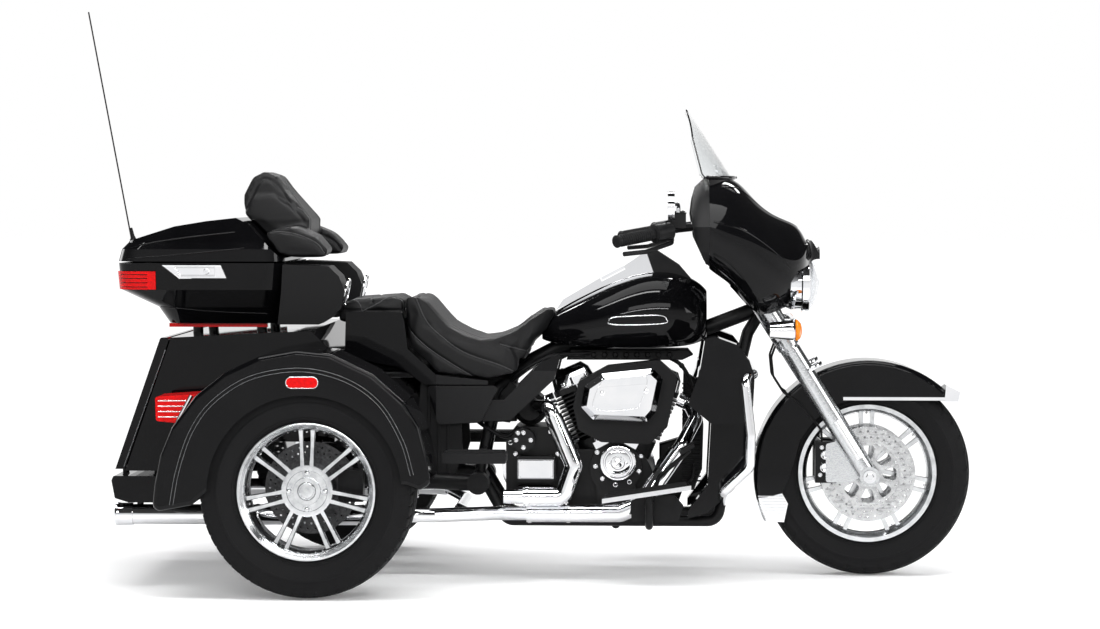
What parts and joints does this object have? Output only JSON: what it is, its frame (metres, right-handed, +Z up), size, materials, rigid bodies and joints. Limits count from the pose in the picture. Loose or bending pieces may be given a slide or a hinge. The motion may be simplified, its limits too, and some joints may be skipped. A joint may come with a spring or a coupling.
{
  "type": "motorized touring trike",
  "caption": "Three-wheeled touring motorcycle with an open V-twin engine, fork-mounted fairing, hard trunk, tour box, steering and turning wheels.",
  "frame": {"origin": "on the floor under the middle of the whole machine, antenna included", "axes": "+X forward, +Y to the rider's left, +Z up"},
  "size_m": [2.833, 1.3966, 1.7893],
  "materials": {
    "black_paint": "gloss",
    "satin_black": "satin",
    "chrome": "polished",
    "fin_black": "satin with machined fin edges",
    "black_plastic": "satin",
    "vinyl": "grained vinyl",
    "tyre": "moulded",
    "wheel": "machined faces, black barrel",
    "steel": "brushed",
    "aluminium": "polished",
    "red_lens": "gloss",
    "clear_screen": "clear",
    "mirror": "polished"
  },
  "bodies": {
    "chassis": {"frame": "satin_black", "crankcase": "fin_black", "cylinders": "fin_black", "rocker_boxes": "chrome", "pushrod_tubes": "chrome", "cam_cover": "chrome", "air_cleaner_back": "black_plastic", "air_cleaner": "chrome", "transmission": "fin_black", "primary_cover": "chrome", "header_pipes": "chrome", "mufflers": "chrome", "fuel_tank": "black_paint", "tank_console": "chrome", "rider_seat": "vinyl", "passenger_seat": "vinyl", "body_panels": "black_paint", "trunk": "black_paint", "rear_fascia": "black_paint", "rear_fender_right": "black_paint", "rear_fender_left": "black_paint", "fender_lamps": "red_lens", "tour_box": "black_paint", "speaker_pods": "black_plastic", "antenna": "satin_black", "tail_lamps": "red_lens", "footboards": "chrome", "foot_controls": "satin_black", "engine_guard": "chrome", "leg_shields": "black_paint", "rear_axle": "satin_black", "rear_calipers": "satin_black"},
    "steering": {"fork": "aluminium", "front_axle": "chrome", "front_calipers": "satin_black", "brake_lines": "black_plastic", "front_fender": "black_paint", "front_trim": "chrome", "handlebar": "chrome", "hand_controls": "black_plastic", "mirrors": "chrome", "fairing": "black_paint", "fairing_inner": "black_plastic", "windscreen": "clear_screen", "headlamp": "chrome", "front_lamps": "chrome"},
    "front_wheel": {"front_tyre": "tyre", "front_rim": "wheel", "front_discs": "steel"},
    "rear_wheel_right": {"rear_tyre_right": "tyre", "rear_rim_right": "wheel", "rear_disc_right": "steel"},
    "rear_wheel_left": {"rear_tyre_left": "tyre", "rear_rim_left": "wheel", "rear_disc_left": "steel"},
    "box_lid": {"tour_lid": "black_paint", "backrest": "vinyl"},
    "trunk_door": {"trunk_door": "black_paint"},
    "fuel_door": {"fuel_door": "chrome"}
  },
  "joints": [
    {"name": "steer", "type": "hinge", "parent": "chassis", "child": "steering", "pos_m": [0.77893, 0, 0.85], "axis": [-0.4384, 0, 0.8988], "range_deg": [-35, 35]},
    {"name": "front_wheel_spin", "type": "hinge", "parent": "steering", "child": "front_wheel", "pos_m": [1.0935, 0, 0.323], "axis": [0, 1, 0], "continuous": true},
    {"name": "rear_wheel_right_spin", "type": "hinge", "parent": "chassis", "child": "rear_wheel_right", "pos_m": [-0.5995, -0.567, 0.321], "axis": [0, 1, 0], "continuous": true},
    {"name": "rear_wheel_left_spin", "type": "hinge", "parent": "chassis", "child": "rear_wheel_left", "pos_m": [-0.5995, 0.567, 0.321], "axis": [0, 1, 0], "continuous": true},
    {"name": "box_lid_hinge", "type": "hinge", "parent": "chassis", "child": "box_lid", "pos_m": [-0.9495, 0.333, 0.99], "axis": [-1, 0, 0], "range_deg": [0, 85]},
    {"name": "trunk_door_hinge", "type": "hinge", "parent": "chassis", "child": "trunk_door", "pos_m": [-1.20835, 0, 0.354], "axis": [0, -1, 0], "range_deg": [0, 90]},
    {"name": "fuel_door_hinge", "type": "hinge", "parent": "chassis", "child": "fuel_door", "pos_m": [0.33484, 0, 0.9714], "axis": [0, 1, 0], "range_deg": [0, 80]}
  ]
}
